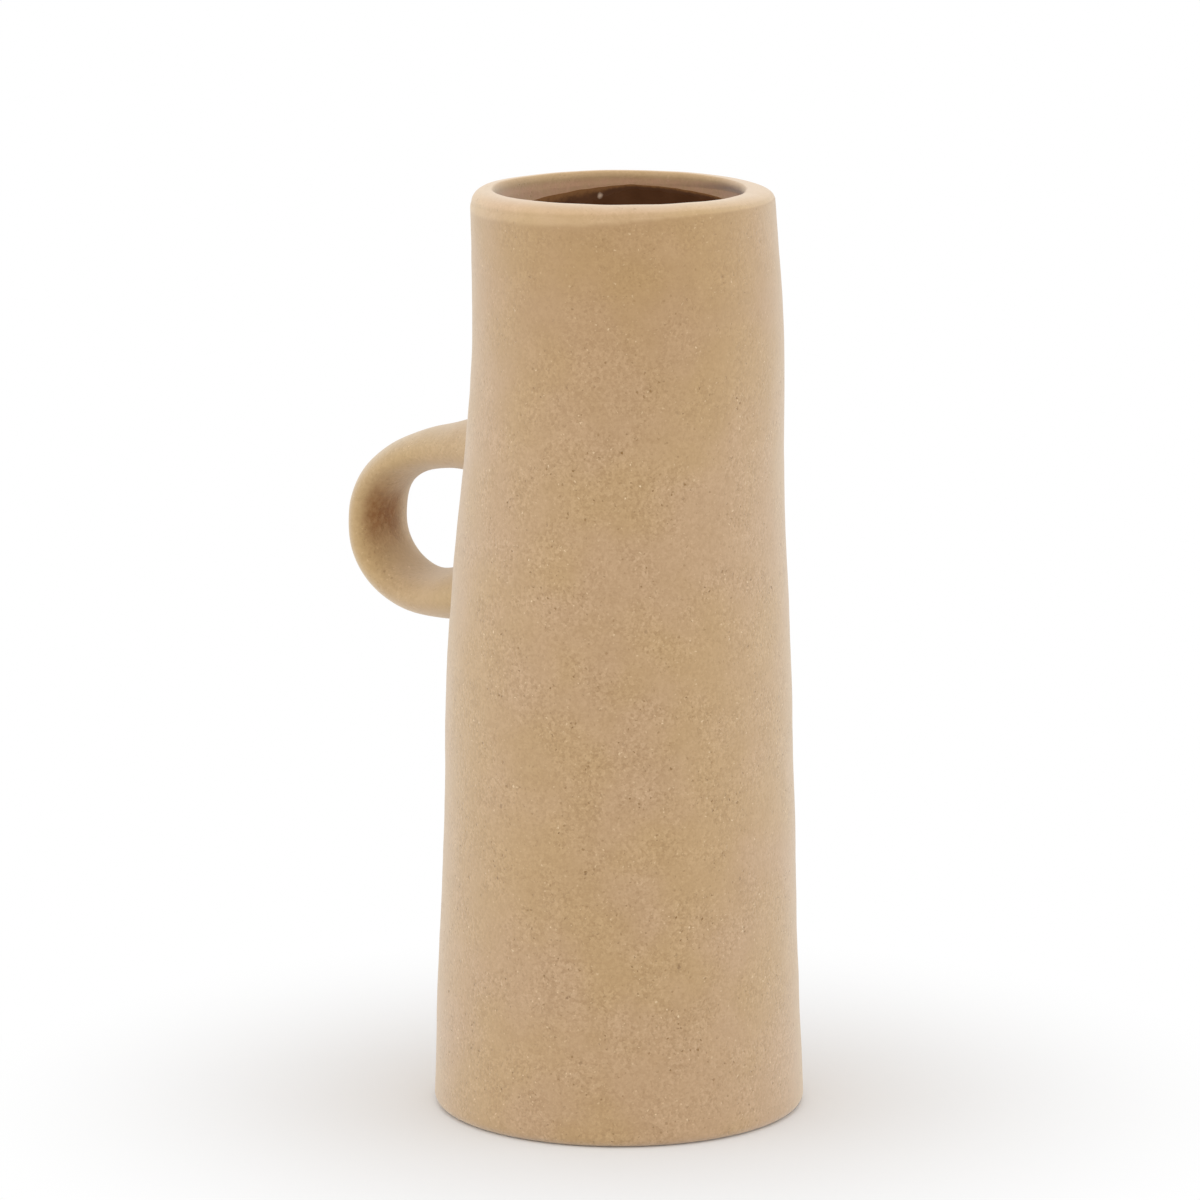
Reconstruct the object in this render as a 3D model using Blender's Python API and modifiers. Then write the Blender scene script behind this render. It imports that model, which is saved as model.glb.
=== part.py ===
# A hand-built stoneware jar with one strap handle, as the pieces of clay it is put together from.
# Metres, +Z up. The origin is the middle of the resting face, and the handle stands in the XZ
# plane on the -X side.

import math

import bmesh
import bpy
from mathutils import Vector, noise

# Jar body.
JAR_HEIGHT = 0.300  # resting face to the crest of the lip
FOOT_RADIUS = 0.0605  # outside of the wall at the resting face
MOUTH_RADIUS = 0.0486  # outside of the wall at the lip
WALL_THICKNESS = 0.0080
FLOOR_THICKNESS = 0.0085
FOOT_ROUND = 0.0030  # softened lower edge of the floor slab
SLIP_JOINT = 0.0003  # line of slip between two pieces of clay

# The wall swells a little at the belly and is drawn in at the neck.
BELLY_SWELL = 0.0009
BELLY_HEIGHT = 0.152
NECK_PINCH = 0.0008
NECK_HEIGHT = 0.222
SWELL_SPREAD = 0.028

# Coil that makes the lip, wiped round with a wet finger.
RIM_COIL_HEIGHT = 0.0052
CROWN_HEIGHT = 0.0039  # of the part that a finger rounded over towards the outside
CROWN_FULLNESS = 2.4  # 2 rounds it on a true oval, and more makes it fuller
LIP_EDGE_WIDTH = 0.0013  # from the crest of the lip in to the inside of the wall
LIP_EDGE_HEIGHT = 0.0020
RIM_INSET = 0.0004  # the wiped coil lies this far inside the faces of the wall
RIM_SEAM_WAVE = 0.0010  # the seam under the coil rises and falls
RIM_SEAM_SPREAD = 0.0022
RIM_SEAM_LOW = 212.0  # degrees from +X

# Coil pressed into the corner between floor and wall.
SEAM_COIL_RADIUS = 0.0060  # of the hollow face that a finger draws
SEAM_COIL_EDGE = 0.0006  # thickness where the coil runs out

# Glaze poured round the inside.
GLAZE_THICKNESS = 0.0006
GLAZE_BELOW_CREST = 0.0078
GLAZE_WAVE = 0.0025  # the glaze line rises and falls
GLAZE_WAVE_DEPTH = 0.100  # the wave dies out over this height
GLAZE_HIGH = 120.0  # degrees from +X
GLAZE_RUN_OUT = 0.0040  # length over which the glaze climbs on to the seam coil

# Handle: a flattened strap bent into a loop.
HANDLE_HEIGHT = 0.1853  # middle of the loop
HANDLE_REACH = 0.0415  # face of the wall to the strap's centre line
UPPER_BEND = 0.0401  # the part of the reach over which the upper half is bent
LOWER_BEND = 0.0310
HANDLE_HALF_RISE = 0.0254  # half the height of the loop, on the strap's centre line
BEND_FULLNESS = 2.2  # 2 bends the strap on a true oval, and more makes it squarer
HANDLE_TILT = 1.8  # degrees that the loop is tipped up
STRAP_THICKNESS = 0.0130
STRAP_WIDTH = 0.0274
STRAP_GROWTH = 0.05  # share by which the strap is stouter at its lower end
UPPER_LIFT = 0.0016  # the ends were pushed up the wall this far as they were pressed on
LOWER_LIFT = 0.0033
LIFT_LENGTH = 0.028
ROOT_SPLAY = 0.42  # share by which the strap is splayed where it meets the wall
ROOT_LENGTH = 0.028

# What the hands did to the true turned shape.
LEAN = 0.0027
LEAN_HEIGHT = 0.250
LEAN_SPREAD = 0.037
LEAN_HEADING = 32.0  # degrees from +X
OVAL = 0.0005
OVAL_HEADING = 75.0
DENT = 0.0006
DENT_SIZE = 0.055
DENT_FREE_FOOT = 0.030  # the foot was set down true, so the dents fade in above it
CREST_DIP = 0.0002  # the crest is low to both sides
CREST_TILT = 0.0002  # and lowest to one of them
CREST_HEADING = 32.0
CREST_WAVE_DEPTH = 0.050  # the wave of the crest dies out over this height

# Fineness of the facets.
TURN_STEPS = 64
WALL_RINGS = 14
GLAZE_RINGS = 10
ROUND_STEPS = 6
CROWN_STEPS = 7
LIP_EDGE_STEPS = 3
STRAP_SIDES = 18
BEND_STEPS = 11
ARM_STEPS = 4
WELD = 0.00001
SHARP_ANGLE = 40.0

# Name, colour and roughness of each finish.
CLAY = ("fired_clay", (0.52, 0.36, 0.20), 0.85)
WIPED_CLAY = ("wiped_clay", (0.58, 0.42, 0.26), 0.75)
GLAZE = ("brown_glaze", (0.13, 0.06, 0.03), 0.15)


def clear_scene():
    for item in list(bpy.data.objects):
        bpy.data.objects.remove(item, do_unlink=True)


def new_collection(name):
    collection = bpy.data.collections.new(name)
    bpy.context.scene.collection.children.link(collection)
    return collection


def material_for(kind):
    """The material of one finish, made once."""
    name, colour, roughness = kind
    material = bpy.data.materials.get(name)
    if material is None:
        material = bpy.data.materials.new(name)
        material.use_nodes = True
        shader = material.node_tree.nodes["Principled BSDF"]
        shader.inputs["Base Color"].default_value = (*colour, 1.0)
        shader.inputs["Roughness"].default_value = roughness
        shader.inputs["Metallic"].default_value = 0.0
    return material


def bell(height, middle, spread):
    """A smooth hump: 1 at the middle, and nearly 0 beyond three spreads from it."""
    return math.exp(-0.5 * ((height - middle) / spread) ** 2)


def share_between(value, low, high):
    """0 at or below low, 1 at or above high, and even in between."""
    return min(1.0, max(0.0, (value - low) / (high - low)))


def steps_between(start, end, count):
    """count + 1 evenly spaced values from start to end."""
    return [start + (end - start) * step / count for step in range(count + 1)]


def arc(centre, half_width, half_height, start, end, count, fullness=2.0):
    """Points (radius, height) on an oval, or a squarer one, between two angles in degrees."""
    points = []
    for degrees in steps_between(start, end, count):
        cosine, sine = math.cos(math.radians(degrees)), math.sin(math.radians(degrees))
        across = half_width * math.copysign(abs(cosine) ** (2 / fullness), cosine)
        up = half_height * math.copysign(abs(sine) ** (2 / fullness), sine)
        points.append((centre[0] + across, centre[1] + up))
    return points


def outer_radius(height):
    """Outside of the wall at a height: a straight taper with a swell and a pinch."""
    taper = FOOT_RADIUS + (MOUTH_RADIUS - FOOT_RADIUS) * height / JAR_HEIGHT
    swell = BELLY_SWELL * bell(height, BELLY_HEIGHT, SWELL_SPREAD)
    pinch = NECK_PINCH * bell(height, NECK_HEIGHT, SWELL_SPREAD)
    return taper + swell - pinch


def inner_radius(height):
    return outer_radius(height) - WALL_THICKNESS


def wall_foot():
    return FLOOR_THICKNESS + SLIP_JOINT


def wall_top():
    return JAR_HEIGHT - RIM_COIL_HEIGHT


def hand_formed(point):
    """Where a point of the true turned jar lies after it is beaten and smoothed by hand."""
    height = point.z
    angle = math.atan2(point.y, point.x)

    heading = math.radians(LEAN_HEADING)
    lean = LEAN * bell(height, LEAN_HEIGHT, LEAN_SPREAD)

    oval = OVAL * height / JAR_HEIGHT * math.cos(2 * (angle - math.radians(OVAL_HEADING)))
    on_round = Vector((math.cos(angle), math.sin(angle), 0)) * MOUTH_RADIUS
    place = (on_round + Vector((0, 0, height))) / DENT_SIZE
    dent = DENT * share_between(height, 0, DENT_FREE_FOOT) * noise.noise(place)
    growth = 1 + (oval + dent) / outer_radius(height)

    near_crest = share_between(height, JAR_HEIGHT - CREST_WAVE_DEPTH, JAR_HEIGHT)
    turn = angle - math.radians(CREST_HEADING)
    crest = near_crest**2 * (CREST_DIP * math.cos(2 * turn) + CREST_TILT * math.cos(turn))
    seam = RIM_SEAM_WAVE * bell(height, wall_top(), RIM_SEAM_SPREAD)
    seam *= math.cos(angle - math.radians(RIM_SEAM_LOW))
    return Vector(
        (
            point.x * growth + lean * math.cos(heading),
            point.y * growth + lean * math.sin(heading),
            height - crest - seam,
        )
    )


def bake(item):
    """Swaps an object's curve or modifiers for the mesh that they make."""
    bpy.context.view_layer.update()
    graph = bpy.context.evaluated_depsgraph_get()
    mesh = bpy.data.meshes.new_from_object(item.evaluated_get(graph))
    mesh.transform(item.matrix_world)
    name, collection = item.name, item.users_collection[0]
    bpy.data.objects.remove(item, do_unlink=True)

    shape = bmesh.new()
    shape.from_mesh(mesh)
    bmesh.ops.remove_doubles(shape, verts=shape.verts, dist=WELD)
    shape.to_mesh(mesh)
    shape.free()
    baked = bpy.data.objects.new(name, mesh)
    collection.objects.link(baked)
    return baked


def turned(name, profile, collection, closed):
    """Turns a profile of (radius, height), which runs down the outside, about the jar's axis."""
    edges = [(index, index + 1) for index in range(len(profile) - 1)]
    if closed:
        edges.append((len(profile) - 1, 0))
    mesh = bpy.data.meshes.new(name)
    mesh.from_pydata([(radius, 0, height) for radius, height in profile], edges, [])
    item = bpy.data.objects.new(name, mesh)
    collection.objects.link(item)
    screw = item.modifiers.new("turn", "SCREW")
    screw.steps = TURN_STEPS
    screw.render_steps = TURN_STEPS
    screw.use_merge_vertices = True
    screw.merge_threshold = WELD
    return bake(item)


def finish(item, kind):
    """Gives a true piece its hand-formed surface, its shading and its material."""
    for vertex in item.data.vertices:
        vertex.co = hand_formed(vertex.co)
    item.data.materials.clear()
    item.data.materials.append(material_for(kind))
    item.data.shade_smooth()
    item.data.set_sharp_from_angle(angle=math.radians(SHARP_ANGLE))


def make_floor_slab(collection):
    half_way = FOOT_RADIUS / 2
    rounded = outer_radius(FOOT_ROUND) - FOOT_ROUND
    profile = [(0, FLOOR_THICKNESS), (half_way, FLOOR_THICKNESS)]
    profile += [(outer_radius(FLOOR_THICKNESS), FLOOR_THICKNESS)]
    profile += arc((rounded, FOOT_ROUND), FOOT_ROUND, FOOT_ROUND, 0, -90, ROUND_STEPS)
    profile += [(half_way, 0), (0, 0)]
    finish(turned("floor_slab", profile, collection, closed=False), CLAY)


def make_wall(collection):
    heights = steps_between(wall_foot(), wall_top(), WALL_RINGS)
    outside = [(outer_radius(height), height) for height in reversed(heights)]
    inside = [(inner_radius(height), height) for height in heights]
    finish(turned("wall", outside + inside, collection, closed=True), CLAY)


def make_rim_coil(collection):
    seat = wall_top() + SLIP_JOINT
    crest = inner_radius(JAR_HEIGHT) + LIP_EDGE_WIDTH
    edge = (crest, JAR_HEIGHT - LIP_EDGE_HEIGHT)
    crown = (crest, JAR_HEIGHT - CROWN_HEIGHT)
    crown_width = outer_radius(JAR_HEIGHT) - RIM_INSET - crest
    ledge = (crown[1] - seat) / 2
    profile = arc(edge, LIP_EDGE_WIDTH - RIM_INSET, LIP_EDGE_HEIGHT, 180, 90, LIP_EDGE_STEPS)
    profile += arc(crown, crown_width, CROWN_HEIGHT, 90, 0, CROWN_STEPS, CROWN_FULLNESS)[1:]
    profile += [(outer_radius(seat + ledge) - RIM_INSET, seat + ledge)]
    profile += [(outer_radius(seat), seat), (inner_radius(seat), seat)]
    finish(turned("rim_coil", profile, collection, closed=True), WIPED_CLAY)


def seam_coil_centre():
    """Middle of the hollow face that is drawn along the seam coil."""
    reach = SEAM_COIL_EDGE + SEAM_COIL_RADIUS
    height = wall_foot() + reach
    return (inner_radius(height) - SLIP_JOINT - reach, height)


def make_seam_coil(collection):
    centre = seam_coil_centre()
    outside = [(inner_radius(height) - SLIP_JOINT, height) for height in (centre[1], wall_foot())]
    toe = (centre[0], wall_foot())
    hollow = arc(centre, SEAM_COIL_RADIUS, SEAM_COIL_RADIUS, -90, 0, ROUND_STEPS)
    finish(turned("seam_coil", outside + [toe] + hollow, collection, closed=True), CLAY)


def glaze_face(gap):
    """One face of the glaze, from its edge near the lip to the middle of the floor."""
    centre = seam_coil_centre()
    heights = steps_between(JAR_HEIGHT - GLAZE_BELOW_CREST, centre[1] + GLAZE_RUN_OUT, GLAZE_RINGS)
    on_wall = [(inner_radius(height) - gap, height) for height in heights]
    hollow = SEAM_COIL_RADIUS - gap
    on_coil = arc(centre, hollow, hollow, 0, -90, ROUND_STEPS)
    floor = FLOOR_THICKNESS + gap
    on_floor = [(centre[0] - GLAZE_RUN_OUT, floor), (centre[0] / 2, floor), (0, floor)]
    return on_wall + on_coil + on_floor


def make_inner_glaze(collection):
    air_side = glaze_face(SLIP_JOINT + GLAZE_THICKNESS)
    clay_side = glaze_face(SLIP_JOINT)
    glaze = turned("inner_glaze", air_side[::-1] + clay_side, collection, closed=False)
    for vertex in glaze.data.vertices:
        angle = math.atan2(vertex.co.y, vertex.co.x)
        near_line = share_between(vertex.co.z, JAR_HEIGHT - GLAZE_WAVE_DEPTH, JAR_HEIGHT)
        vertex.co.z += GLAZE_WAVE * near_line * math.cos(2 * (angle - math.radians(GLAZE_HIGH)))
    finish(glaze, GLAZE)


def half_loop(bend, start):
    """One arm and its half of the loop: (distance past the wall, rise), from the wall out."""
    arm = HANDLE_REACH - bend
    bent = arc((arm, 0), bend, HANDLE_HALF_RISE, start, 0, BEND_STEPS, BEND_FULLNESS)
    rise = bent[0][1]
    return [(out, rise) for out in steps_between(-WALL_THICKNESS, arm, ARM_STEPS)[:-1]] + bent


def handle_path():
    """The strap's centre line: (distance from the jar's axis, height, size of the section)."""
    upper = half_loop(UPPER_BEND, 90)
    lower = half_loop(LOWER_BEND, -90)
    tilt = math.radians(HANDLE_TILT)
    points = []
    for out, rise in upper + lower[-2::-1]:
        height = HANDLE_HEIGHT + rise * math.cos(tilt) + out * math.sin(tilt)
        beyond = out * math.cos(tilt) + rise * math.sin(tilt)
        lift = UPPER_LIFT if rise > 0 else LOWER_LIFT
        height += lift * (1 - share_between(beyond, 0, LIFT_LENGTH)) ** 2
        splay = ROOT_SPLAY * (1 - share_between(beyond, 0, ROOT_LENGTH)) ** 2
        growth = STRAP_GROWTH * share_between(-rise, -HANDLE_HALF_RISE, HANDLE_HALF_RISE)
        points.append((outer_radius(height) + beyond, height, 1 + splay + growth))
    return points


def poly_curve(name, points, closed):
    """A flat curve object through (x, y, size) points."""
    curve = bpy.data.curves.new(name, "CURVE")
    curve.dimensions = "2D"
    curve.fill_mode = "NONE"
    spline = curve.splines.new("POLY")
    spline.points.add(len(points) - 1)
    spline.use_cyclic_u = closed
    for point, (x, y, size) in zip(spline.points, points):
        point.co = (x, y, 0, 1)
        point.radius = size
    return bpy.data.objects.new(name, curve)


def strap_section(helpers):
    """The flattened round that is swept along the handle."""
    points = []
    for side in range(STRAP_SIDES):
        angle = math.tau * side / STRAP_SIDES
        points.append((STRAP_THICKNESS / 2 * math.sin(angle), STRAP_WIDTH / 2 * math.cos(angle), 1))
    section = poly_curve("strap_section", points, closed=True)
    helpers.objects.link(section)
    return as_wire(section)


def as_wire(item):
    item.hide_render = True
    item.display_type = "WIRE"
    return item


def wall_cutter(helpers):
    """The solid jar, one line of slip larger, that shapes the roots of the handle."""
    heights = steps_between(wall_foot(), wall_top(), WALL_RINGS)
    side = [(outer_radius(height) + SLIP_JOINT, height) for height in reversed(heights)]
    profile = [(0, wall_top())] + side + [(0, wall_foot())]
    return as_wire(turned("wall_cutter", profile, helpers, closed=False))


def make_handle(collection, helpers):
    path = [(-distance, height, size) for distance, height, size in handle_path()]
    loop = poly_curve("handle", path, closed=False)
    collection.objects.link(loop)
    loop.data.bevel_mode = "OBJECT"
    loop.data.bevel_object = strap_section(helpers)
    loop.data.use_fill_caps = True
    loop.rotation_euler = (math.pi / 2, 0, 0)
    strap = bake(loop)

    cut = strap.modifiers.new("seat on the wall", "BOOLEAN")
    cut.operation = "DIFFERENCE"
    cut.solver = "EXACT"
    cut.object = wall_cutter(helpers)
    finish(bake(strap), WIPED_CLAY)


def main():
    clear_scene()
    jar = new_collection("stoneware_jar")
    helpers = new_collection("helpers")
    make_floor_slab(jar)
    make_wall(jar)
    make_rim_coil(jar)
    make_seam_coil(jar)
    make_inner_glaze(jar)
    make_handle(jar, helpers)


main()
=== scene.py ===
import math

import bmesh
import bpy
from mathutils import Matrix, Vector, noise


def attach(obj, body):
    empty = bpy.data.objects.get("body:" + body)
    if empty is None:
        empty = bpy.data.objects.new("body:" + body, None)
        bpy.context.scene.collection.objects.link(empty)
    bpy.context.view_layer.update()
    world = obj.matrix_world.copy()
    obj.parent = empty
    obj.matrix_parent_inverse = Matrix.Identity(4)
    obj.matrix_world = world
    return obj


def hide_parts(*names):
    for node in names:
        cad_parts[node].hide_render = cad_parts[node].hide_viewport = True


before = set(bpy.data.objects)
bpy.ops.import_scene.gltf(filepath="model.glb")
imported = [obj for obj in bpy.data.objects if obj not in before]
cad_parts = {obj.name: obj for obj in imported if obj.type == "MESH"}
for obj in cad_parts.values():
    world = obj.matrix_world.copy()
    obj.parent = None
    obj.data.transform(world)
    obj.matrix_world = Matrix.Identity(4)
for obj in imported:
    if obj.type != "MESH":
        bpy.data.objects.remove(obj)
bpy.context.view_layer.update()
print("jar: frame loaded")

# Shape of the clay before the hands worked it, in metres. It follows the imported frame.
jar = {
    "height": 0.300,
    "footRadius": 0.0605,
    "mouthRadius": 0.0486,
    "bellySwell": 0.0009,
    "bellyHeight": 0.152,
    "neckPinch": 0.0008,
    "neckHeight": 0.222,
    "swellSpread": 0.028,
    "wallThickness": 0.0080,
    "floorTop": 0.0085,
    "seamBelowCrest": 0.0052,
    "skinInset": 0.00012,
    "slipGap": 0.00015,
}

# What the hands did to it. Headings are in degrees from +X.
hands = {
    "lean": 0.0027,
    "leanHeight": 0.250,
    "leanSpread": 0.037,
    "leanHeading": 32.0,
    "oval": 0.0005,
    "ovalHeading": 75.0,
    "dent": 0.0006,
    "dentSize": 0.055,
    "dentFreeFoot": 0.030,
    "press": 0.00022,
    "pressSize": 0.017,
    "ripple": 0.00007,
    "rippleSize": 0.0055,
    "crestDip": 0.0002,
    "crestTilt": 0.0002,
    "crestDepth": 0.050,
    "seamWave": 0.0010,
    "seamSpread": 0.0022,
    "seamLow": 212.0,
    "wipeWander": 0.0015,
    "wipeTurn": 306.0,
    "wipeSwing": 2.6,
}
surface = {"weld": 1e-6, "sharpEdge": 50}

# Places on the nearLip attribute, in millimetres up the jar, with the edge of the wiped band at 20.
band = {
    "edge": 20.0,
    "inside": 22.0,
    "crown": 26.0,
    "wiped": (18.2, 20.2),
    "lip": (19.6, 21.4),
    "crest": (23.6, 25.2),
    "waver": 1.4,
    "waverSize": 8.0,
}


def bell(value, middle, spread):
    return math.exp(-0.5 * ((value - middle) / spread) ** 2)


def shareBetween(value, low, high):
    return min(1.0, max(0.0, (value - low) / (high - low)))


def smoothShare(value, low, high):
    share = shareBetween(value, low, high)
    return share * share * (3 - 2 * share)


def evenSteps(start, end, count):
    return [start + (end - start) * step / count for step in range(count + 1)]


def outerRadius(height):
    taper = jar["footRadius"] + (jar["mouthRadius"] - jar["footRadius"]) * height / jar["height"]
    swell = jar["bellySwell"] * bell(height, jar["bellyHeight"], jar["swellSpread"])
    pinch = jar["neckPinch"] * bell(height, jar["neckHeight"], jar["swellSpread"])
    return taper + swell - pinch - jar["skinInset"]


def innerRadius(height):
    return outerRadius(height) - jar["wallThickness"] + jar["skinInset"]


def leant(point):
    heading = math.radians(hands["leanHeading"])
    lean = hands["lean"] * bell(point.z, hands["leanHeight"], hands["leanSpread"])
    return point + Vector((math.cos(heading), math.sin(heading), 0)) * lean


def handFormed(point):
    height = point.z
    angle = math.atan2(point.y, point.x)
    heading = math.radians(hands["leanHeading"])

    oval = hands["oval"] * height / jar["height"]
    oval *= math.cos(2 * (angle - math.radians(hands["ovalHeading"])))
    place = Vector((math.cos(angle), math.sin(angle), 0)) * jar["mouthRadius"]
    place.z = height
    above = shareBetween(height, 0, hands["dentFreeFoot"])
    dent = hands["dent"] * noise.noise(place / hands["dentSize"])
    dent += hands["press"] * noise.noise(place / hands["pressSize"])
    dent += hands["ripple"] * noise.noise(place / hands["rippleSize"])
    growth = 1 + (oval + above * dent) / outerRadius(height)

    nearCrest = shareBetween(height, jar["height"] - hands["crestDepth"], jar["height"])
    turn = angle - heading
    crest = hands["crestDip"] * math.cos(2 * turn) + hands["crestTilt"] * math.cos(turn)
    seamHeight = jar["height"] - jar["seamBelowCrest"]
    seam = hands["seamWave"] * bell(height, seamHeight, hands["seamSpread"])
    seam *= math.cos(angle - math.radians(hands["seamLow"]))
    formed = leant(Vector((point.x * growth, point.y * growth, height)))
    formed.z -= crest * nearCrest**2 + seam
    return formed


def pieceFrom(shape, name, finish, slotName, *nodes):
    bmesh.ops.remove_doubles(shape, verts=shape.verts, dist=surface["weld"])
    bmesh.ops.recalc_face_normals(shape, faces=shape.faces)
    mesh = bpy.data.meshes.new(name)
    shape.to_mesh(mesh)
    shape.free()
    mesh.shade_smooth()
    mesh.set_sharp_from_angle(angle=math.radians(surface["sharpEdge"]))
    piece = bpy.data.objects.new(name, mesh)
    bpy.context.scene.collection.objects.link(piece)
    mesh.materials.append(finish)
    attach(piece, "root")
    if nodes:
        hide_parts(*nodes)
    print("jar:", name, len(mesh.polygons), "faces")
    return piece


def turnedShape(profile, steps):
    shape = bmesh.new()
    points = [shape.verts.new((radius, 0, height)) for radius, height in profile]
    edges = [shape.edges.new(pair) for pair in zip(points, points[1:])]
    if profile[0][0] > 0:
        edges.append(shape.edges.new((points[-1], points[0])))
    bmesh.ops.spin(
        shape,
        geom=points + edges,
        cent=(0, 0, 0),
        axis=(0, 0, 1),
        angle=math.tau,
        steps=steps,
        use_merge=True,
    )
    bmesh.ops.remove_doubles(shape, verts=shape.verts, dist=surface["weld"])
    return shape


def ovalArc(centre, across, tall, start, end, count, fullness=2.0):
    points = []
    for degrees in evenSteps(start, end, count):
        cosine, sine = math.cos(math.radians(degrees)), math.sin(math.radians(degrees))
        out = across * math.copysign(abs(cosine) ** (2 / fullness), cosine)
        rise = tall * math.copysign(abs(sine) ** (2 / fullness), sine)
        points.append((centre[0] + out, centre[1] + rise))
    return points


# Finishes.
def putNode(tree, kind, sockets, **settings):
    made = tree.nodes.new("ShaderNode" + kind)
    for key, value in settings.items():
        setattr(made, key, value)
    for key, value in sockets.items():
        if isinstance(value, bpy.types.NodeSocket):
            tree.links.new(value, made.inputs[key])
        else:
            made.inputs[key].default_value = value
    return made


def blankFinish(name):
    finish = bpy.data.materials.new(name)
    finish.use_nodes = True
    tree = finish.node_tree
    shader = tree.nodes["Principled BSDF"]
    place = tree.nodes.new("ShaderNodeTexCoord").outputs["Object"]
    millimetres = putNode(tree, "Mapping", {"Vector": place, "Scale": (1000, 1000, 1000)})
    return finish, tree, shader, millimetres.outputs["Vector"]


def cloudOf(tree, place, size, detail=2.0, rough=0.5):
    made = putNode(
        tree, "TexNoise", {"Vector": place, "Scale": 1 / size, "Detail": detail, "Roughness": rough}
    )
    return made.outputs["Fac"]


def mathOf(tree, operation, first, second=0.0, third=0.0):
    made = putNode(tree, "Math", {0: first, 1: second, 2: third}, operation=operation)
    return made.outputs[0]


def spread(tree, value, low, high, toLow=0.0, toHigh=1.0):
    made = putNode(
        tree,
        "MapRange",
        {"Value": value, "From Min": low, "From Max": high, "To Min": toLow, "To Max": toHigh},
        interpolation_type="SMOOTHSTEP",
    )
    return made.outputs["Result"]


def tinted(tree, share, first, second, blend="MIX"):
    made = putNode(
        tree, "Mix", {0: share, 6: first, 7: second}, data_type="RGBA", blend_type=blend
    )
    return made.outputs[2]


def scattered(tree, place, gap, radius, chosen):
    # Round spots of mixed strength: one in each cell of a loose lattice, in a share of the cells.
    cells = putNode(tree, "TexVoronoi", {"Vector": place, "Scale": 1 / gap})
    pick = putNode(tree, "SeparateColor", {"Color": cells.outputs["Color"]})
    reach = mathOf(tree, "MULTIPLY_ADD", pick.outputs[1], radius / gap, 0.35 * radius / gap)
    inside = mathOf(tree, "SUBTRACT", reach, cells.outputs["Distance"])
    spot = spread(tree, inside, 0.0, 0.45 * radius / gap)
    spot = mathOf(tree, "MULTIPLY", spot, mathOf(tree, "LESS_THAN", pick.outputs[0], chosen))
    strength = mathOf(tree, "POWER", pick.outputs[2], 2.2)
    return mathOf(tree, "MULTIPLY", spot, mathOf(tree, "MULTIPLY_ADD", strength, 0.78, 0.22))


def shifted(tree, value, tone):
    # A pattern about 0.5 turned into a change of so much about 0.
    return mathOf(tree, "MULTIPLY_ADD", value, tone, -0.5 * tone)


def bumped(tree, shader, relief, looks):
    sockets = {"Height": relief, "Strength": looks["bump"], "Distance": looks["bumpDepth"]}
    bump = putNode(tree, "Bump", sockets)
    tree.links.new(bump.outputs["Normal"], shader.inputs["Normal"])


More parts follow.
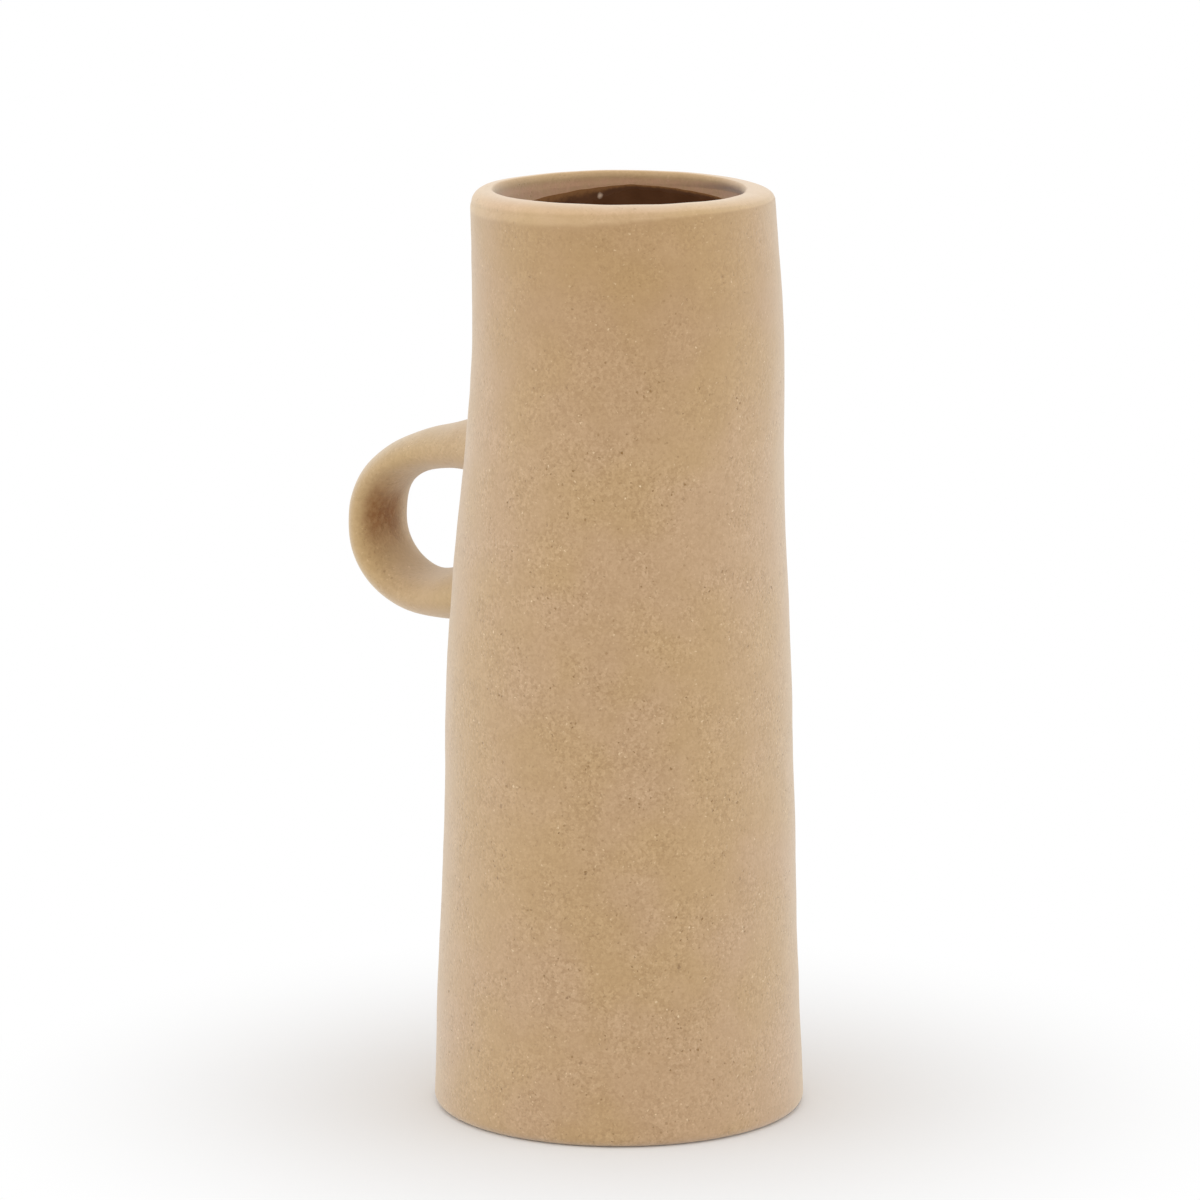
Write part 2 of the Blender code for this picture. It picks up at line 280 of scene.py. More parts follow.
def clayFinish(name, looks):
    finish, tree, shader, place = blankFinish(name)
    clouds = spread(tree, cloudOf(tree, place, looks["cloudSize"], 2.5), 0.36, 0.64)
    patches = cloudOf(tree, place, looks["patchSize"], 3.0, 0.55)
    grain = cloudOf(tree, place, looks["grainSize"], 2.5, 0.6)
    sand = putNode(tree, "TexVoronoi", {"Vector": place, "Scale": 1 / looks["sandSize"]})
    sandTone = putNode(tree, "SeparateColor", {"Color": sand.outputs["Color"]}).outputs[2]
    # Streaks lie level around the jar, as the hand went.
    streakPlace = putNode(tree, "Mapping", {"Vector": place, "Scale": looks["streakScale"]})
    streaks = cloudOf(tree, streakPlace.outputs["Vector"], 1.0, 2.0)
    sway = putNode(tree, "TexNoise", {"Vector": place, "Scale": 1 / looks["swaySize"], "Detail": 1.0})
    swayed = {0: sway.outputs["Color"], 1: (looks["sway"],) * 3, 2: place}
    ragged = putNode(tree, "VectorMath", swayed, operation="MULTIPLY_ADD").outputs["Vector"]
    flecks, specks, pits = (
        scattered(tree, ragged, looks[kind + "Gap"], looks[kind + "Radius"], looks[kind + "Share"])
        for kind in ("fleck", "speck", "pit")
    )

    # Rubbed patches, the neck and the wiped lip lie smoother than the rest.
    height = putNode(tree, "SeparateXYZ", {"Vector": place}).outputs["Z"]
    shadedNeck = spread(tree, height, *looks["neckHeights"])
    nearLip = putNode(tree, "Attribute", {}, attribute_name="nearLip").outputs["Fac"]
    # Mask of the painted highlight on the crest.
    crest = spread(tree, nearLip, *band["crest"])
    waver = shifted(tree, cloudOf(tree, place, band["waverSize"], 1.0), band["waver"])
    nearLip = mathOf(tree, "ADD", nearLip, waver)
    wiped = spread(tree, nearLip, *band["wiped"])
    # Mask of the lip colour: lighter wiped clay with painted top light.
    lip = spread(tree, nearLip, *band["lip"])
    rough = spread(tree, cloudOf(tree, place, looks["rubbedSize"], 2.0), 0.38, 0.60, 0.55, 1.15)
    for share, change in ((shadedNeck, looks["neckRough"]), (wiped, looks["wipedRough"])):
        rough = mathOf(tree, "MULTIPLY", rough, mathOf(tree, "MULTIPLY_ADD", share, change, 1.0))

    light = shifted(tree, grain, looks["grain"])
    light = mathOf(tree, "ADD", light, shifted(tree, sandTone, looks["sand"]))
    light = mathOf(tree, "MULTIPLY_ADD", light, rough, 1.0)
    light = mathOf(tree, "ADD", light, shifted(tree, patches, looks["patch"]))
    light = mathOf(tree, "ADD", light, shifted(tree, streaks, looks["streak"]))
    # Dark grains are browner than the clay and pale ones greyer.
    green = mathOf(tree, "POWER", light, looks["greenSwing"])
    blue = mathOf(tree, "POWER", light, looks["blueSwing"])
    shade = putNode(tree, "CombineColor", {0: light, 1: green, 2: blue}).outputs["Color"]
    colour = tinted(tree, clouds, looks["tan"], looks["pink"])
    # Painted light: the neck colour is painted shade, the crest colour a painted highlight, and the
    # lip colour partly lighter wiped clay and partly painted top light.
    for share, kind in ((shadedNeck, "shadedNeck"), (lip, "lip"), (crest, "crest")):
        colour = tinted(tree, share, colour, tinted(tree, 1.0, colour, looks[kind], "MULTIPLY"))
    colour = tinted(tree, 1.0, colour, shade, "MULTIPLY")
    for spots, kind in ((flecks, "fleck"), (pits, "pit"), (specks, "speck")):
        shown = mathOf(tree, "MULTIPLY", mathOf(tree, "MULTIPLY", spots, looks[kind + "Tone"]), rough)
        colour = tinted(tree, shown, colour, looks[kind])

    dullFrom = looks["dull"] - 0.5 * looks["dullVary"]
    dull = mathOf(tree, "MULTIPLY_ADD", patches, looks["dullVary"], dullFrom)
    dull = mathOf(tree, "MULTIPLY_ADD", wiped, looks["wipedDull"], dull)
    dull = mathOf(tree, "MULTIPLY_ADD", specks, looks["speckDull"], dull)
    tree.links.new(dull, shader.inputs["Roughness"])

    # This attribute carries painted shade, inside the mouth and on the inner face of the loop.
    paintedShade = putNode(tree, "Attribute", {}, attribute_name="paintedShade").outputs["Fac"]
    smear = putNode(tree, "Attribute", {}, attribute_name="smear").outputs["Fac"]
    blotch = cloudOf(tree, place, looks["blotchSize"], 3.0, 0.65)
    blotch = spread(tree, blotch, 0.32, 0.66, 0.60, 1.0)
    for amount, kind in ((paintedShade, "paintedShade"), (smear, "smear")):
        marked = tinted(tree, 1.0, colour, looks[kind], "MULTIPLY")
        colour = tinted(tree, mathOf(tree, "MULTIPLY", amount, blotch), colour, marked)
    tree.links.new(colour, shader.inputs["Base Color"])

    relief = mathOf(tree, "MULTIPLY", grain, looks["grainRise"])
    patterns = {"sand": sand.outputs["Distance"], "fleck": flecks, "pit": pits, "streak": streaks}
    for kind, pattern in patterns.items():
        relief = mathOf(tree, "MULTIPLY_ADD", pattern, looks[kind + "Rise"], relief)
    bumped(tree, shader, mathOf(tree, "MULTIPLY", relief, rough), looks)
    sheen = mathOf(tree, "MULTIPLY_ADD", paintedShade, looks["paintedShadeSheen"], looks["sheen"])
    tree.links.new(sheen, shader.inputs["Sheen Weight"])
    shader.inputs["Sheen Roughness"].default_value = looks["sheenRough"]
    shader.inputs["Sheen Tint"].default_value = looks["sheenTint"]
    shader.inputs["Specular IOR Level"].default_value = looks["specular"]
    return finish


# Sizes and gaps of the patterns are in millimetres. A colour called shadedNeck, lip, crest,
# paintedShade or smear multiplies the clay there, and a Share is the part of the lattice that holds a
# spot.
# shadedNeck and paintedShade are painted shade, crest is a painted highlight, and lip is partly
# lighter wiped clay and partly painted top light.
wallLooks = {
    "cloudSize": 34,
    "patchSize": 8.5,
    "rubbedSize": 13,
    "blotchSize": 2.6,
    "grainSize": 0.72,
    "sandSize": 1.0,
    "streakScale": (0.035, 0.035, 0.75),
    "swaySize": 0.8,
    "sway": 1.2,
    "neckHeights": (205, 285),
    "neckRough": -0.35,
    "wipedRough": -0.45,
    "greenSwing": 1.28,
    "blueSwing": 1.85,
    "tan": (0.477, 0.300, 0.134, 1),
    "pink": (0.484, 0.305, 0.157, 1),
    # This colour is painted shade on the upper part of the jar.
    "shadedNeck": (0.93, 0.89, 0.785, 1),
    # This colour is partly the lighter wiped clay and partly painted top light on the lip.
    "lip": (1.23, 1.32, 1.49, 1),
    # This colour is a painted highlight on the crest of the lip.
    "crest": (1.13, 1.14, 1.24, 1),
    "fleck": (0.78, 0.580, 0.345, 1),
    "pit": (0.265, 0.132, 0.022, 1),
    "speck": (0.180, 0.080, 0.008, 1),
    # This colour is painted shade: darker and pinker inside the mouth.
    "paintedShade": (1.10, 0.80, 1.18, 1),
    "paintedShadeSheen": 0.0,
    "smear": (0.56, 0.42, 0.32, 1),
    "grain": 0.49,
    "sand": 0.18,
    "patch": 0.16,
    "streak": 0.05,
    "fleckGap": 1.3,
    "fleckRadius": 0.30,
    "fleckShare": 0.55,
    "fleckTone": 0.94,
    "pitGap": 1.5,
    "pitRadius": 0.38,
    "pitShare": 0.78,
    "pitTone": 0.92,
    "speckGap": 5.0,
    "speckRadius": 0.55,
    "speckShare": 0.26,
    "speckTone": 0.85,
    "dull": 0.86,
    "dullVary": 0.14,
    "wipedDull": -0.08,
    "speckDull": -0.2,
    "grainRise": 0.55,
    "sandRise": -0.45,
    "fleckRise": 0.35,
    "pitRise": -0.9,
    "streakRise": 0.35,
    "bump": 0.55,
    "bumpDepth": 0.00028,
    "sheen": 0.72,
    "sheenRough": 0.6,
    "sheenTint": (1, 0.95, 0.87, 1),
    "specular": 0.5,
}
handleLooks = dict(
    wallLooks,
    tan=(0.496, 0.327, 0.142, 1),
    pink=(0.502, 0.331, 0.159, 1),
    shadedNeck=(1, 1, 1, 1),
    grain=0.28,
    sand=0.12,
    fleckTone=0.60,
    pitTone=0.58,
    speckShare=0.18,
    dull=0.80,
    bump=0.32,
    # This colour is painted shade on the inner face of the loop, where the sheen is also weaker.
    paintedShade=(0.54, 0.34, 0.18, 1),
    paintedShadeSheen=-0.5,
)


glazeLooks = {
    "deep": (0.097, 0.037, 0.014, 1),
    "clear": (0.138, 0.057, 0.023, 1),
    "thin": (0.300, 0.142, 0.054, 1),
    "poolDepth": (0.0, 0.9),
    "wetDepth": (0.2, 1.6),
    "cloudSize": 14,
    "raggedSize": 1.6,
    # Place, reach and colour of a painted highlight dot on the glaze.
    "highlightPlace": (-26.1, 30.2, 291.9),
    "highlightReach": (1.85, 1.05),
    "highlightColour": (0.70, 0.51, 0.37, 1),
    "dryRough": 0.72,
    "wetRough": 0.26,
    "drySpecular": 0.10,
    "wetSpecular": 0.30,
    "waveSize": 5,
    "bump": 0.4,
    "bumpDepth": 0.0003,
}


def glazeFinish():
    looks = glazeLooks
    finish, tree, shader, place = blankFinish("brownGlaze")
    depth = putNode(tree, "Attribute", {}, attribute_name="belowLine").outputs["Fac"]
    ragged = cloudOf(tree, place, looks["raggedSize"], 3.0, 0.6)
    depth = mathOf(tree, "MULTIPLY_ADD", ragged, 1.0, mathOf(tree, "SUBTRACT", depth, 0.5))
    pooled = spread(tree, depth, *looks["poolDepth"])
    wet = spread(tree, depth, *looks["wetDepth"])
    clouds = spread(tree, cloudOf(tree, place, looks["cloudSize"], 3.0), 0.3, 0.7)
    colour = tinted(tree, clouds, looks["deep"], looks["clear"])
    colour = tinted(tree, pooled, looks["thin"], colour)
    # A painted highlight: one small pale dot on the glaze, which is also left less glossy there.
    fromHighlight = putNode(tree, "VectorMath", {0: place, 1: looks["highlightPlace"]}, operation="DISTANCE")
    fromHighlight = mathOf(tree, "MULTIPLY_ADD", ragged, 1.0, fromHighlight.outputs["Value"])
    highlightSpot = spread(tree, fromHighlight, *looks["highlightReach"])
    colour = tinted(tree, highlightSpot, colour, looks["highlightColour"])
    tree.links.new(colour, shader.inputs["Base Color"])
    wet = mathOf(tree, "MULTIPLY", wet, mathOf(tree, "SUBTRACT", 1.0, highlightSpot))
    for socket, dryKey, wetKey in (
        ("Roughness", "dryRough", "wetRough"), ("Specular IOR Level", "drySpecular", "wetSpecular")
    ):
        change = looks[wetKey] - looks[dryKey]
        amount = mathOf(tree, "MULTIPLY_ADD", wet, change, looks[dryKey])
        tree.links.new(amount, shader.inputs[socket])
    bumped(tree, shader, cloudOf(tree, place, looks["waveSize"], 2.0), looks)
    return finish


wallClay = clayFinish("wallClay", wallLooks)
lipClay = clayFinish("lipClay", wallLooks)
handleClay = clayFinish("handleClay", handleLooks)
brownGlaze = glazeFinish()
print("jar: finishes made")


def aboveBand(height, angle):
    # The edge of the wiped band lies higher at the front right.
    turn = angle - math.radians(hands["wipeTurn"])
    edge = hands["wipeWander"] * math.tanh(hands["wipeSwing"] * math.sin(turn))
    above = height - jar["height"] + jar["seamBelowCrest"] - edge
    return max(0.0, above * 1000 + band["edge"])


def makeWall():
    # The inside of the wall carries painted shade.
    wall = {"turnSteps": 256, "outerSteps": 210, "innerSteps": 36, "insideShade": 0.52}
    bottom = jar["floorTop"] + jar["slipGap"]
    top = jar["height"] - jar["seamBelowCrest"]
    profile = [(outerRadius(z), z) for z in evenSteps(top, bottom, wall["outerSteps"])]
    profile += [(innerRadius(z), z) for z in evenSteps(bottom, top, wall["innerSteps"])]
    shape = turnedShape(profile, wall["turnSteps"])
    paintedShade = shape.verts.layers.float.new("paintedShade")
    nearLip = shape.verts.layers.float.new("nearLip")
    for vert in shape.verts:
        radius = math.hypot(vert.co.x, vert.co.y)
        angle = math.atan2(vert.co.y, vert.co.x)
        inside = radius < outerRadius(vert.co.z) - jar["wallThickness"] / 2
        vert[paintedShade] = wall["insideShade"] if inside else 0.0
        vert[nearLip] = band["inside"] if inside else aboveBand(vert.co.z, angle)
        vert.co = handFormed(vert.co)
    return pieceFrom(shape, "wallOuter", wallClay, "clay", "wall")


def makeLip():
    lip = {
        "turnSteps": 320,
        "crownHeight": 0.0039,
        "fullness": 2.4,
        "edgeWidth": 0.0013,
        "edgeHeight": 0.0020,
        "edgeMargin": 0.0002,
        "seamBack": (0.0008, 0.0016),
        "inset": 0.00032,
        "innerInset": 0.00030,
        "insetVary": 0.00014,
        "ledge": 0.0014,
        "ledgeFade": 0.0040,
        "ledgeClear": 250.0,
        "ledgeWander": 0.3,
        "ledgeSpan": (0.1, 0.5),
        "fullInside": 0.0019,
        "fullHeading": 30.0,
        "fullWidth": 34.0,
        "fullFrom": -0.0002,
        "fullTo": 0.0022,
        # Painted shade on the inner face of the lip, cleared towards the crest.
        "insideShade": 0.52,
        "shadeFrom": 0.0034,
        "shadeTo": 0.0014,
        "smear": 60.0,
        "smearWidth": 9.0,
        "smearBelow": 0.0030,
        "smearHeight": 0.0010,
        "smearTone": 0.95,
        "varyTurns": 1.6,
        "widthVary": 0.00022,
        "heightVary": 0.00016,
    }
    seam = jar["height"] - jar["seamBelowCrest"]
    top = jar["height"] - jar["slipGap"]
    face = outerRadius(jar["height"])
    crest = innerRadius(jar["height"]) + lip["edgeWidth"]
    crownFoot = top - lip["crownHeight"]
    inside = innerRadius(jar["height"]) + lip["innerInset"]
    profile = [(outerRadius(z), z) for z in evenSteps(crownFoot, seam, 12)]
    backLow, backHigh = (seam + rise for rise in lip["seamBack"])
    edgeFoot = top - lip["edgeHeight"]
    profile += [(innerRadius(z), z) for z in evenSteps(seam, backLow, 4)]
    profile += [(inside, z) for z in evenSteps(backHigh, edgeFoot, 3)[:-1]]
    profile += ovalArc((crest, edgeFoot), crest - inside, lip["edgeHeight"], 180, 90, 8)
    crown = ovalArc((crest, crownFoot), face - crest, lip["crownHeight"], 90, 2, 26, lip["fullness"])
    profile += crown[1:]
    shape = turnedShape(profile, lip["turnSteps"])
    paintedShade = shape.verts.layers.float.new("paintedShade")
    nearLip = shape.verts.layers.float.new("nearLip")
    smeared = shape.verts.layers.float.new("smear")
    for vert in shape.verts:
        radius = math.hypot(vert.co.x, vert.co.y)
        angle = math.atan2(vert.co.y, vert.co.x)
        share = smoothShare(vert.co.z, crownFoot, top)
        around = Vector((math.cos(angle), math.sin(angle), 0)) * lip["varyTurns"]
        if radius < crest - lip["edgeMargin"]:
            # Painted shade darkens the inner face below the crest, and one brown smudge lies near the
            # right of the opening.
            clear = smoothShare(vert.co.z, top - lip["shadeFrom"], top - lip["shadeTo"])
            smear = bell(math.degrees(angle), lip["smear"], lip["smearWidth"])
            smear *= bell(vert.co.z, top - lip["smearBelow"], lip["smearHeight"])
            vert[nearLip] = band["inside"] + (band["crown"] - band["inside"]) * share
            vert[paintedShade] = lip["insideShade"] * (1 - clear)
            vert[smeared] = lip["smearTone"] * smear
        else:
            vert[nearLip] = aboveBand(vert.co.z, angle) * (1 - share) + band["crown"] * share
        if radius > crest:
            # The thumb left a ledge at the front left, which fades out around the lip.
            away = 0.5 - 0.5 * math.cos(angle - math.radians(lip["ledgeClear"]))
            away += lip["ledgeWander"] * noise.noise(around * 2.7)
            away = shareBetween(away, *lip["ledgeSpan"])
            ledge = lip["ledge"] + lip["ledgeFade"] * away
            depth = lip["inset"] + lip["insetVary"] * noise.noise(around * 1.7)
            weight = shareBetween(radius, crest, face)
            radius -= depth * weight * smoothShare(vert.co.z, seam, seam + ledge)
        if radius < crest + 1e-5:
            aside = math.degrees(angle) - lip["fullHeading"]
            fuller = lip["fullInside"] * bell((aside + 180) % 360 - 180, 0, lip["fullWidth"])
            radius -= fuller * smoothShare(vert.co.z, seam + lip["fullFrom"], seam + lip["fullTo"])
        radius += share * lip["widthVary"] * noise.noise(around * 1.3 + Vector((5, 0, 0)))
        lift = share * lip["heightVary"] * (noise.noise(around * 2.1 + Vector((0, 7, 0))) - 0.6)
        vert.co = handFormed(
            Vector((radius * math.cos(angle), radius * math.sin(angle), vert.co.z + lift))
        )
    return pieceFrom(shape, "wipedLip", lipClay, "wiped_clay", "rim_coil")


def makeFoot():
    foot = {
        "turnSteps": 256,
        "round": 0.0030,
        "topRings": (0, 0.02, 0.045),
        "underRings": (0.045, 0.03, 0.015, 0),
    }
    top = jar["floorTop"] + jar["slipGap"]
    rounded = outerRadius(foot["round"]) - foot["round"]
    profile = [(radius, top) for radius in foot["topRings"]]
    profile += [(outerRadius(z), z) for z in evenSteps(top, foot["round"], 8)]
    profile += ovalArc((rounded, foot["round"]), foot["round"], foot["round"], -9, -90, 9)
    profile += [(radius, 0) for radius in foot["underRings"]]
    shape = turnedShape(profile, foot["turnSteps"])
    for vert in shape.verts:
        vert.co = handFormed(vert.co)
    return pieceFrom(shape, "floorSlab", wallClay, "clay", "floor_slab")


def makeGlaze():
    glaze = {
        "turnSteps": 288,
        "belowCrest": 0.0074,
        "wave": 0.0025,
        "waveHigh": 120.0,
        "waveDepth": 0.060,
        "ragged": 0.0007,
        "gap": 0.00025,
        "thickness": 0.0006,
        "taper": 0.018,
        "thinLeft": 4.0,
        "thinSide": (0.45, 1.0),
        "airEdge": 0.6,
        "clayEdge": 0.2,
        "fineDepth": 0.006,
        "cornerGap": 0.0003,
        "seamRadius": 0.0060,
        "seamEdge": 0.0006,
        "seamClear": 0.004,
        "floorRings": (0.035, 0.02, 0),
    }
    corner = jar["floorTop"] + glaze["cornerGap"]
    reach = glaze["seamEdge"] + glaze["seamRadius"]
    centre = (innerRadius(corner + reach) - glaze["cornerGap"] - reach, corner + reach)
    lineHeight = jar["height"] - glaze["belowCrest"]
    fineFoot = lineHeight - glaze["fineDepth"]

    def side(gap, edge):
        upper = evenSteps(lineHeight, fineFoot, 12)
        lower = evenSteps(fineFoot, centre[1] + glaze["seamClear"], 60)[1:]
        points = []
        for z in upper + lower:
            share = smoothShare(lineHeight - z, 0, glaze["taper"])
            points.append((innerRadius(z) - (edge + (gap - edge) * share), z))
        hollow = glaze["seamRadius"] - gap
        points += ovalArc(centre, hollow, hollow, 0, -90, 10)
        floor = jar["floorTop"] + gap
        points.append((centre[0] - glaze["seamClear"], floor))
        return points + [(radius, floor) for radius in glaze["floorRings"]]

    airSide = side(glaze["gap"] + glaze["thickness"], glaze["gap"] * glaze["airEdge"])
    claySide = side(glaze["gap"], glaze["gap"] * glaze["clayEdge"])
    shape = turnedShape(airSide[::-1] + claySide, glaze["turnSteps"])
    belowLine = shape.verts.layers.float.new("belowLine")
    for vert in shape.verts:
        height = vert.co.z
        angle = math.atan2(vert.co.y, vert.co.x)
        around = Vector((math.cos(angle), math.sin(angle), 0))
        near = shareBetween(height, jar["height"] - glaze["waveDepth"], lineHeight)
        rise = glaze["wave"] * math.cos(2 * (angle - math.radians(glaze["waveHigh"])))
        rise += glaze["ragged"] * noise.noise(around * 3.1)
        rise += 0.4 * glaze["ragged"] * noise.noise(around * 9.0)
        thin = smoothShare(-math.cos(angle), *glaze["thinSide"])
        vert[belowLine] = (lineHeight - height) * 1000 / (1 + glaze["thinLeft"] * thin)
        vert.co = handFormed(Vector((vert.co.x, vert.co.y, height + rise * near)))
    return pieceFrom(shape, "pouredGlaze", brownGlaze, "glaze", "inner_glaze")


# Metres and degrees. Depths and gaps are measured from the wall.
handle = {
    "height": 0.18516,
    "reach": 0.04126,
    "upperBend": 0.03979,
    "lowerBend": 0.0317,
    "halfRise": 0.02535,
    "fullness": 2.29,
    "tilt": 1.85,
    "thickness": 0.01256,
    "width": 0.0281,
    "growth": 0.045,
    "armGrowth": 0.028,
    "armRise": (0.3, 0.9),
    "upperLift": 0.00215,
    "lowerLift": 0.00355,
    "liftLength": 0.028,
    "upperSplay": 0.446,
    "lowerSplay": 0.37,
    "sideSplay": 0.72,
    "upperSplayLength": 0.0324,
    "lowerSplayLength": 0.0351,
    "filletOut": 0.0014,
    "filletAlong": 0.0008,
    "sides": 72,
    "armShare": 0.2,
    "sunkShare": 0.7,
    "rootDepths": (0.0030, 0.0010, 0.00012),
    "rootSpread": 0.5,
    "rootSteps": 12,
    "seekReach": 0.30,
    "seekSteps": 26,
    "bendSteps": 150,
    "tangentStep": 0.002,
    "freeGap": (0.001, 0.012),
    "vary": 0.00016,
    "varySize": 0.012,
    "varyRadius": 0.08,
    # Where painted shade lies on the inner face of the loop.
    "loopShadeTurn": 203.5,
    "loopShadeWidth": 0.62,
    "loopShadeFull": 0.97,
    "loopShadeAlong": 0.492,
    "loopShadeSlant": 0.03,
    "loopShadeLength": 0.062,
}


def handleStation(along):
    # 0 and 1 are the ends inside the wall, and the arms run straight to the bend.
    upper = along < 0.5
    side = 1 if upper else -1
    bend = handle["upperBend"] if upper else handle["lowerBend"]
    arm = handle["reach"] - bend
    inside = -jar["wallThickness"] * handle["sunkShare"]
    armShare = handle["armShare"]
    fromEnd = min(along, 1 - along)
    if fromEnd < armShare:
        out = inside + (arm - inside) * fromEnd / armShare
        rise = side * handle["halfRise"]
    else:
        turn = side * (90 - 90 * (fromEnd - armShare) / (0.5 - armShare))
        corner = ovalArc((arm, 0), bend, handle["halfRise"], turn, turn, 1, handle["fullness"])
        out, rise = corner[0]
    tilt = math.radians(handle["tilt"])
    height = handle["height"] + rise * math.cos(tilt) + out * math.sin(tilt)
    beyond = out * math.cos(tilt) + rise * math.sin(tilt)
    lift = handle["upperLift"] if upper else handle["lowerLift"]
    height += lift * (1 - min(1, beyond / handle["liftLength"])) ** 2
    splay = handle["upperSplay"] if upper else handle["lowerSplay"]
    splayLength = handle["upperSplayLength"] if upper else handle["lowerSplayLength"]
    splay *= (1 - min(1, beyond / splayLength)) ** 2
    growth = handle["growth"] * shareBetween(-rise, -handle["halfRise"], handle["halfRise"])
    growth += handle["armGrowth"] * smoothShare(abs(rise) / handle["halfRise"], *handle["armRise"])
    return Vector((-outerRadius(height) - beyond, 0, height)), 1 + splay + growth


def handlePoint(along, turn):
    centre, size = handleStation(along)
    ahead = handleStation(min(1, along + handle["tangentStep"]))[0]
    behind = handleStation(max(0, along - handle["tangentStep"]))[0]
    tangent = (ahead - behind).normalized()
    outward = Vector((tangent.z, 0, -tangent.x))
    across = handle["thickness"] / 2 * size * math.cos(turn)
    wide = handle["width"] / 2 * (1 + (size - 1) * handle["sideSplay"]) * math.sin(turn)
    return centre + outward * across + Vector((0, wide, 0))


def loopShadeAt(along, turn):
    # Painted shade on the inner face of the loop, most of it towards the front edge.
    aside = turn - math.radians(handle["loopShadeTurn"])
    across = smoothShare(math.cos(aside), handle["loopShadeWidth"], handle["loopShadeFull"])
    middle = handle["loopShadeAlong"] - handle["loopShadeSlant"] * aside
    return across * bell(along, middle, handle["loopShadeLength"])


def wallGap(point):
    return math.hypot(point.x, point.y) - outerRadius(point.z)


def rootPoint(turn, gap, upper):
    # Where one line along the strap stands this far off the wall.
    near, far = (0.0, handle["seekReach"]) if upper else (1.0, 1.0 - handle["seekReach"])
    for halving in range(handle["seekSteps"]):
        middle = (near + far) / 2
        if wallGap(handlePoint(middle, turn)) < gap:
            near = middle
        else:
            far = middle
    return near, handlePoint(near, turn)


def flaredPoint(point, gap, centreHeight):
    # The fillet of slip spreads over the wall and keeps its distance from it.
    sunk = handle["rootDepths"][-1]
    share = 1 - shareBetween(gap + sunk, 0, handle["filletOut"])
    spreadOut = handle["filletAlong"] * (1 - math.sqrt(1 - share**3))
    if gap < -sunk:
        spreadOut += (-gap - sunk) * handle["rootSpread"]
    angle = math.atan2(point.y, -point.x)
    flat = Vector((angle * outerRadius(point.z), point.z - centreHeight))
    flat += flat.normalized() * spreadOut
    height = centreHeight + flat.y
    angle = flat.x / outerRadius(height)
    radius = outerRadius(height) + gap
    return Vector((-radius * math.cos(angle), radius * math.sin(angle), height))


def makeHandle():
    gaps = [-depth for depth in handle["rootDepths"]]
    gaps += [handle["filletOut"] * share**2 for share in evenSteps(0, 1, handle["rootSteps"])]
    turns = [math.tau * side / handle["sides"] for side in range(handle["sides"])]
    rows = []
    ends = []
    for upper in (True, False):
        # Each line along the strap runs free from where it leaves the fillet.
        root = []
        starts = []
        halfArm = handle["armShare"] / 2
        centreHeight = handleStation(halfArm if upper else 1 - halfArm)[0].z
        for gap in gaps:
            ring = []
            for turn in turns:
                along, point = rootPoint(turn, gap, upper)
                ring.append((flaredPoint(point, gap, centreHeight), 0.0))
                if gap == gaps[-1]:
                    starts.append(along)
            root.append(ring)
        rows.append(root)
        ends.append(starts)
    bend = []
    for share in evenSteps(0, 1, handle["bendSteps"])[1:-1]:
        ring = []
        for turn, first, last in zip(turns, ends[0], ends[1]):
            along = first + (last - first) * share
            ring.append((handlePoint(along, turn), loopShadeAt(along, turn)))
        bend.append(ring)
    rings = rows[0] + bend + rows[1][::-1]

    shape = bmesh.new()
    paintedShade = shape.verts.layers.float.new("paintedShade")
    loops = []
    for ring in rings:
        corners = []
        for point, loopShade in ring:
            # Away from the wall the strap leans with the neck and keeps its own form.
            free = smoothShare(wallGap(point), *handle["freeGap"])
            sway = noise.noise(point / handle["varySize"]) * handle["vary"] * free
            point = point * (1 - sway / handle["varyRadius"])
            corners.append(shape.verts.new(handFormed(point).lerp(leant(point), free)))
            corners[-1][paintedShade] = loopShade
        edges = [shape.edges.new(pair) for pair in zip(corners, corners[1:] + corners[:1])]
        if loops:
            bmesh.ops.bridge_loops(shape, edges=loops + edges)
        loops = edges
    bmesh.ops.holes_fill(shape, edges=[edge for edge in shape.edges if edge.is_boundary], sides=0)
    return pieceFrom(shape, "strapHandle", handleClay, "wiped_clay", "handle")


makeWall()
makeLip()
makeFoot()
makeGlaze()
makeHandle()
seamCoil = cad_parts["seam_coil"]
seamCoil.data.materials.clear()
seamCoil.data.materials.append(wallClay)
print("jar: pieces made")


def seenDirectly(tree):
    path = tree.nodes.new("ShaderNodeLightPath")
    seen = mathOf(tree, "MAXIMUM", path.outputs["Is Camera Ray"], path.outputs["Is Glossy Ray"])
    return mathOf(tree, "MAXIMUM", seen, path.outputs["Is Transmission Ray"])


def makeFloor():
    floor = {"radius": 4.0, "colour": (0.85, 0.85, 0.85, 1), "dull": 0.9, "fade": (0.07, 0.22)}
    shape = bmesh.new()
    bmesh.ops.create_circle(shape, cap_ends=True, segments=96, radius=floor["radius"])
    mesh = bpy.data.meshes.new("floor")
    shape.to_mesh(mesh)
    shape.free()
    plane = bpy.data.objects.new("floor", mesh)
    bpy.context.scene.collection.objects.link(plane)
    finish = bpy.data.materials.new("paleFloor")
    finish.use_nodes = True
    tree = finish.node_tree
    shader = tree.nodes["Principled BSDF"]
    shader.inputs["Base Color"].default_value = floor["colour"]
    shader.inputs["Roughness"].default_value = floor["dull"]
    shader.inputs["Specular IOR Level"].default_value = 0.0
    # Away from the jar the floor runs out into the white of the backdrop.
    place = tree.nodes.new("ShaderNodeTexCoord").outputs["Object"]
    reach = putNode(tree, "VectorMath", {0: place}, operation="LENGTH").outputs["Value"]
    away = spread(tree, reach, *floor["fade"])
    white = putNode(tree, "Emission", {"Color": (1, 1, 1, 1), "Strength": 1.0})
    shown = mathOf(tree, "MULTIPLY", away, seenDirectly(tree))
    blend = putNode(tree, "MixShader", {0: shown, 1: shader.outputs[0], 2: white.outputs[0]})
    tree.links.new(blend.outputs[0], tree.nodes["Material Output"].inputs["Surface"])
    mesh.materials.append(finish)


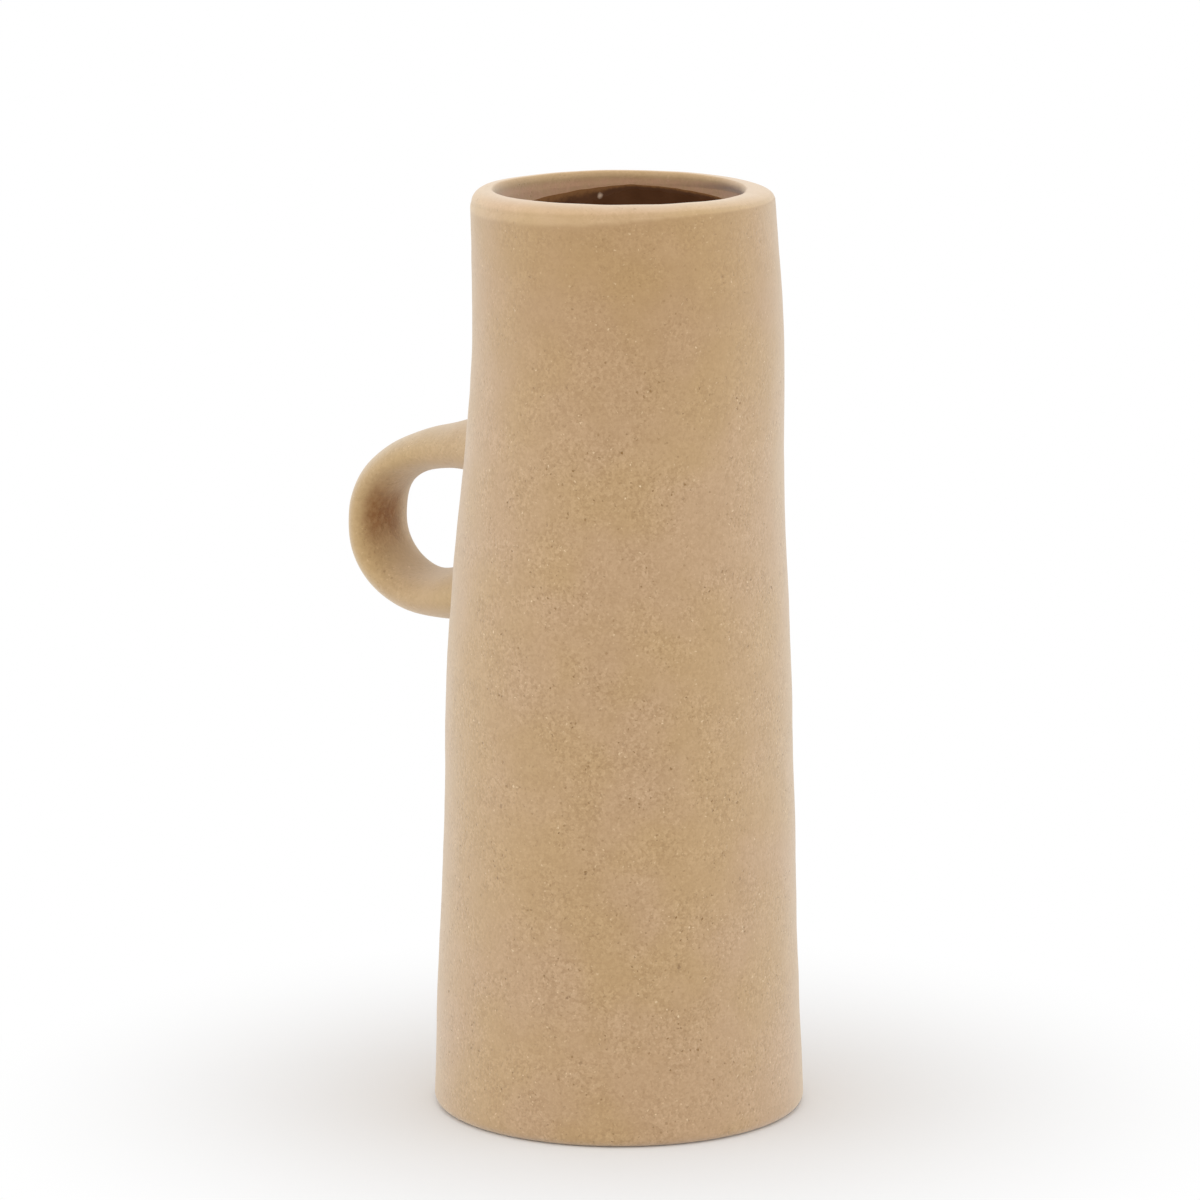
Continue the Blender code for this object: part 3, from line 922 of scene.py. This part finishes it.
def makeStudio():
    studio = {
        "ambient": 0.97,
        "left": {"heading": 225, "height": 0.50, "distance": 1.5, "size": 1.2, "power": 3.4},
        "right": {"heading": 20, "height": 0.50, "distance": 1.5, "size": 1.2, "power": 3.3},
        "top": {"heading": 300, "height": 1.6, "distance": 0.30, "size": 0.9, "power": 0.9},
        "aim": Vector((0, 0, 0.15)),
    }
    world = bpy.data.worlds.new("studio")
    bpy.context.scene.world = world
    world.use_nodes = True
    tree = world.node_tree
    sky = tree.nodes["Background"]
    strength = mathOf(
        tree, "MULTIPLY_ADD", seenDirectly(tree), 1 - studio["ambient"], studio["ambient"]
    )
    sky.inputs["Color"].default_value = (1, 1, 1, 1)
    tree.links.new(strength, sky.inputs["Strength"])
    for name in ("left", "right", "top"):
        lamp = studio[name]
        light = bpy.data.lights.new(name, "AREA")
        light.shape = "SQUARE"
        light.size = lamp["size"]
        light.energy = lamp["power"]
        item = bpy.data.objects.new(name, light)
        bpy.context.scene.collection.objects.link(item)
        turn = math.radians(lamp["heading"])
        place = Vector((math.cos(turn), math.sin(turn), 0)) * lamp["distance"]
        place.z = lamp["height"]
        item.location = place
        item.rotation_euler = (studio["aim"] - place).to_track_quat("-Z", "Y").to_euler()
        item.visible_camera = False


def makeCamera():
    shot = {
        "azimuth": 32.0,
        "distance": 2.0,
        "height": 0.563305,
        "pitch": 11.23528,
        "side": -0.00620,
        "lens": 189.759,
    }
    turn = math.radians(shot["azimuth"])
    camera = bpy.data.cameras.new("camera")
    camera.sensor_width = 36
    camera.lens = shot["lens"]
    camera.clip_start = 0.05
    camera.clip_end = 50
    item = bpy.data.objects.new("camera", camera)
    bpy.context.scene.collection.objects.link(item)
    right = Vector((math.cos(turn), math.sin(turn), 0))
    back = Vector((math.sin(turn), -math.cos(turn), 0))
    item.location = back * shot["distance"] + right * shot["side"] + Vector((0, 0, shot["height"]))
    item.rotation_euler = (math.radians(90 - shot["pitch"]), 0, turn)
    bpy.context.scene.camera = item


makeFloor()
makeStudio()
makeCamera()
bpy.context.scene.view_settings.view_transform = "Standard"
print("jar: stage set")
